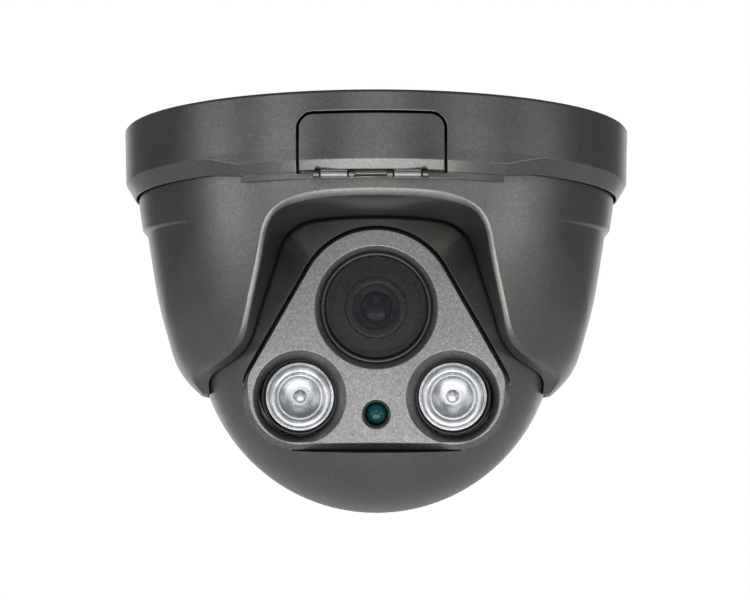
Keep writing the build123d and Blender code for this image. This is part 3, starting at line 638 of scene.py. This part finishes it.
def face_plate():
    """Plate with a bevel, and bevelled holes for the window, the lamps and the sensor."""
    loops = [
        [plate_outline(grow, depth) for grow, depth in PLATE_EDGE],
        [circle(r, depth, LENS_PLACE) for r, depth in WINDOW_HOLE],
    ]
    for side, (u, v) in zip((-1, 1), LED_PLACES):
        rows = []
        for share, r, depth in LED_RECESS:
            centre = (u + side * LED_SHIFT[0] * share, v + LED_SHIFT[1] * share)
            rows.append(circle(r, depth, centre))
        loops.append(rows)
    loops.append([circle(r, depth, SENSOR_PLACE, 48) for r, depth in SENSOR_HOLE])

    form = bmesh.new()
    fronts, backs = [], []
    for number, rows in enumerate(loops):
        rings = [[form.verts.new(co * MM) for co in in_face(row)] for row in rows]
        for low, high in zip(rings, rings[1:]):
            for j in range(len(low)):
                k = (j + 1) % len(low)
                form.faces.new((low[j], low[k], high[k], high[j]))
        front, back = (rings[-1], rings[0]) if number == 0 else (rings[0], rings[-1])
        fronts.append(front)
        backs.append(back)
    for rims in (fronts, backs):
        edges = []
        for rim in rims:
            for j in range(len(rim)):
                edges.append(form.edges.get((rim[j], rim[(j + 1) % len(rim)])))
        bmesh.ops.triangle_fill(form, use_beauty=True, use_dissolve=False, edges=edges)
    mesh = bpy.data.meshes.new("plate")
    form.to_mesh(mesh)
    form.free()
    obj = finish_piece("plate", mesh, "ball", face_grey, 25.0, "face_plate")
    true_normals(obj.data, "flat")


def lamp(side, centre):
    """Moulded lens over an array: ringed rim, dish and bright middle, in a glossy black holder."""
    tag = "left" if side < 0 else "right"
    lens = [
        (0.0, 27.0), (7.7, 27.0), (7.75, 29.3), (7.62, 29.5), (7.36, 29.52), (7.26, 29.3),
        (7.14, 29.3), (7.04, 29.6), (6.7, 29.86), (6.2, 29.98), (5.7, 29.92), (5.36, 29.72),
        (5.28, 29.5), (5.16, 29.5), (5.08, 29.68), (4.8, 29.72), (4.62, 29.6), (4.55, 29.36),
        (4.3, 29.2), (3.6, 28.85), (2.8, 28.6), (2.0, 28.5), (1.5, 28.52), (1.4, 28.66),
        (0.9, 28.9), (0.45, 29.0), (0.0, 29.02),
    ]
    turned_piece("lamp_lens_" + tag, lens, centre, "led_lens", "led_lens_" + tag, 50.0)
    holder = [
        (7.8, 27.4), (8.66, 27.4), (8.6, 28.9), (8.42, 29.16), (8.22, 29.16), (8.1, 28.95),
        (8.02, 28.9), (7.92, 29.0), (7.82, 28.9),
    ]
    shifted = (centre[0] + side * HOLDER_SHIFT[0], centre[1] + HOLDER_SHIFT[1])
    turned_piece("lamp_holder_" + tag, holder, shifted, "black_rubber", "led_seal_" + tag, 60.0)


def window_rim():
    ring = [
        (12.62, FACE_BACK), (12.62, 29.7), (12.5, 29.98), (12.3, 30.12), (12.05, 30.14),
        (11.8, 30.02), (11.6, 29.7), (11.5, 29.4), (11.48, FACE_BACK),
    ]
    turned_piece("window_rim", ring, LENS_PLACE, "black_plastic", "window_ring", 60.0, black_gloss)


def window_pane():
    glass = [(0.0, 28.0), (11.44, 28.0), (11.44, 29.1), (11.3, 29.24), (0.0, 29.26)]
    turned_piece("window_pane", glass, LENS_PLACE, "window_glass", "window_glass", 40.0)


BAFFLE_RIDGES = 26
RIDGE_R = 11.6           # radius of the outermost ridge
RIDGE_STEP = 0.17


def baffle():
    """Black shroud behind the pane, with fine ridges against stray light."""
    profile = [(13.7, 24.6), (13.7, 25.6)]
    for ridge in range(BAFFLE_RIDGES):
        r = RIDGE_R - ridge * RIDGE_STEP
        profile += [(r, 25.72), (r - RIDGE_STEP / 2, 25.76)]
    profile += [(7.12, 25.7), (7.12, 24.2), (8.4, 24.0)]
    turned_piece("baffle", profile, LENS_PLACE, "black_plastic", "lens_shroud", 60.0)


def barrel():
    profile = [
        (0.0, 8.6), (6.0, 8.6), (6.0, 19.8), (7.0, 20.2), (7.0, 25.7), (6.9, 25.85), (6.6, 25.9),
        (5.5, 25.9), (5.35, 25.84), (5.2, 25.7), (4.9, 25.45), (3.95, 25.0), (3.78, 24.9),
        (3.75, 24.7), (3.75, 22.0), (0.0, 22.0),
    ]
    turned_piece("barrel", profile, LENS_PLACE, "black_plastic", "lens_barrel", 40.0, body="lens")


# --- all the pieces ---------------------------------------------------------------------
# Nodes whose copy has its own bevel (millimetres), sharp angle (degrees) and surface.
SURFACES = {
    "base_ring": (0.16, 14.0, "turned"),
    "access_door": (0.16, 14.0, "turned"),
    "ball_front": (0.0, 24.0, "sphere"),
    "ball_rear": (0.0, 30.0, "sphere"),
    "door_hinge_tabs": (0.12, 40.0, None),
}
USUAL = (0.0, 30.0, None)
# The hinge pin gets the dark steel whose colour is painted shade of the door's gap.
OTHER_LOOKS = {"door_hinge_pin": pin_gap_shade}

bowl()
face_plate()
window_rim()
window_pane()
baffle()
barrel()
for lamp_side, lamp_place in zip((-1, 1), LED_PLACES):
    lamp(lamp_side, lamp_place)
for node_name in frame["nodes"]:
    if node_name not in replaced_nodes:
        look = OTHER_LOOKS.get(node_name, MATERIALS[SLOT_OF[node_name]])
        copy_of(node_name, *SURFACES.get(node_name, USUAL), look)


# --- floor, light and camera ------------------------------------------------------------
FLOOR_Z = -0.20
FLOOR_SIZE = 1.8
AIM = Vector((0, 0, -0.045))                           # middle of the object


def floor():
    """Pale floor, faintly self-lit in place of the light that comes up from a real one."""
    h = FLOOR_SIZE / 2
    mesh = bpy.data.meshes.new("floor")
    mesh.from_pydata([(-h, -h, 0), (h, -h, 0), (h, h, 0), (-h, h, 0)], [], [(0, 1, 2, 3)])
    mesh.materials.append(plain(
        "floor_look", 0.78, 0.8, 0.6, 0.7, 40.0, 0.01,
        Emission_Color=(1, 1, 1, 1), Emission_Strength=0.24,
    ))
    obj = bpy.data.objects.new("floor", mesh)
    obj.location = (0, 0, FLOOR_Z)
    bpy.context.scene.collection.objects.link(obj)


def soft_box(name, azimuth, height, distance, size, power):
    """Square light that stands round the object, at an angle from its front, and is aimed at its middle."""
    turn = math.radians(azimuth)
    place = Vector((distance * math.sin(turn), -distance * math.cos(turn), height))
    light = bpy.data.lights.new(name, "AREA")
    light.shape = "SQUARE"
    light.size = size
    light.energy = power
    obj = bpy.data.objects.new(name, light)
    obj.location = place
    obj.visible_camera = False
    obj.rotation_euler = (AIM - place).to_track_quat("-Z", "Y").to_euler()
    bpy.context.scene.collection.objects.link(obj)


# Name, angle from the front, height, distance, size (metres) and power.
SOFT_BOXES = (
    ("left_front", -40, 0.0, 0.9, 0.35, 0.6),
    ("left_side", -72, -0.05, 0.9, 0.35, 0.65),
    ("left_back", -160, 0.0, 0.9, 0.4, 0.55),
    ("left_low", -60, -0.15, 0.7, 0.25, 0.05),
    ("right_front", 40, 0.0, 0.9, 0.35, 0.4),
    ("right_side", 75, -0.05, 0.9, 0.35, 0.4),
    ("right_back", 160, 0.0, 0.9, 0.4, 0.55),
    ("right_low", 60, -0.15, 0.7, 0.25, 0.25),
    ("front", 2, -0.18, 0.6, 0.12, 0.09),
    ("front_high", 0, 0.25, 0.9, 0.4, 0.7),
    ("under_front", 0, -0.195, 0.24, 0.28, 0.42),
    ("under_near", 0, -0.195, 0.12, 0.2, 0.36),
)
WORLD_STRENGTH = 0.2     # of the light that the world sheds on the object


def studio_world():
    """World that looks white to the camera and lights the object faintly."""
    world = bpy.data.worlds.new("studio")
    bpy.context.scene.world = world
    world.use_nodes = True
    tree = world.node_tree
    tree.nodes.clear()
    shown = tree.nodes.new("ShaderNodeBackground")
    shown.inputs["Color"].default_value = (1, 1, 1, 1)
    lit = tree.nodes.new("ShaderNodeBackground")
    lit.inputs["Color"].default_value = (0.95, 0.97, 1, 1)
    lit.inputs["Strength"].default_value = WORLD_STRENGTH
    ray = tree.nodes.new("ShaderNodeLightPath")
    choice = tree.nodes.new("ShaderNodeMixShader")
    out = tree.nodes.new("ShaderNodeOutputWorld")
    tree.links.new(ray.outputs["Is Camera Ray"], choice.inputs[0])
    tree.links.new(lit.outputs[0], choice.inputs[1])
    tree.links.new(shown.outputs[0], choice.inputs[2])
    tree.links.new(choice.outputs[0], out.inputs[0])


CAMERA_PLACE = (0, -0.5, -0.0847)
CAMERA_RISE = 5.12       # degrees above the horizontal that the camera looks


def studio_camera():
    scene = bpy.context.scene
    scene.view_settings.view_transform = "Standard"
    data = bpy.data.cameras.new("camera")
    data.lens = 100.1
    data.sensor_width = 36.0
    data.shift_x = -0.0017
    data.clip_start = 0.01
    camera = bpy.data.objects.new("camera", data)
    camera.location = CAMERA_PLACE
    camera.rotation_euler = (math.radians(90 + CAMERA_RISE), 0, 0)
    scene.collection.objects.link(camera)
    scene.camera = camera


floor()
for box in SOFT_BOXES:
    soft_box(*box)
studio_world()
studio_camera()
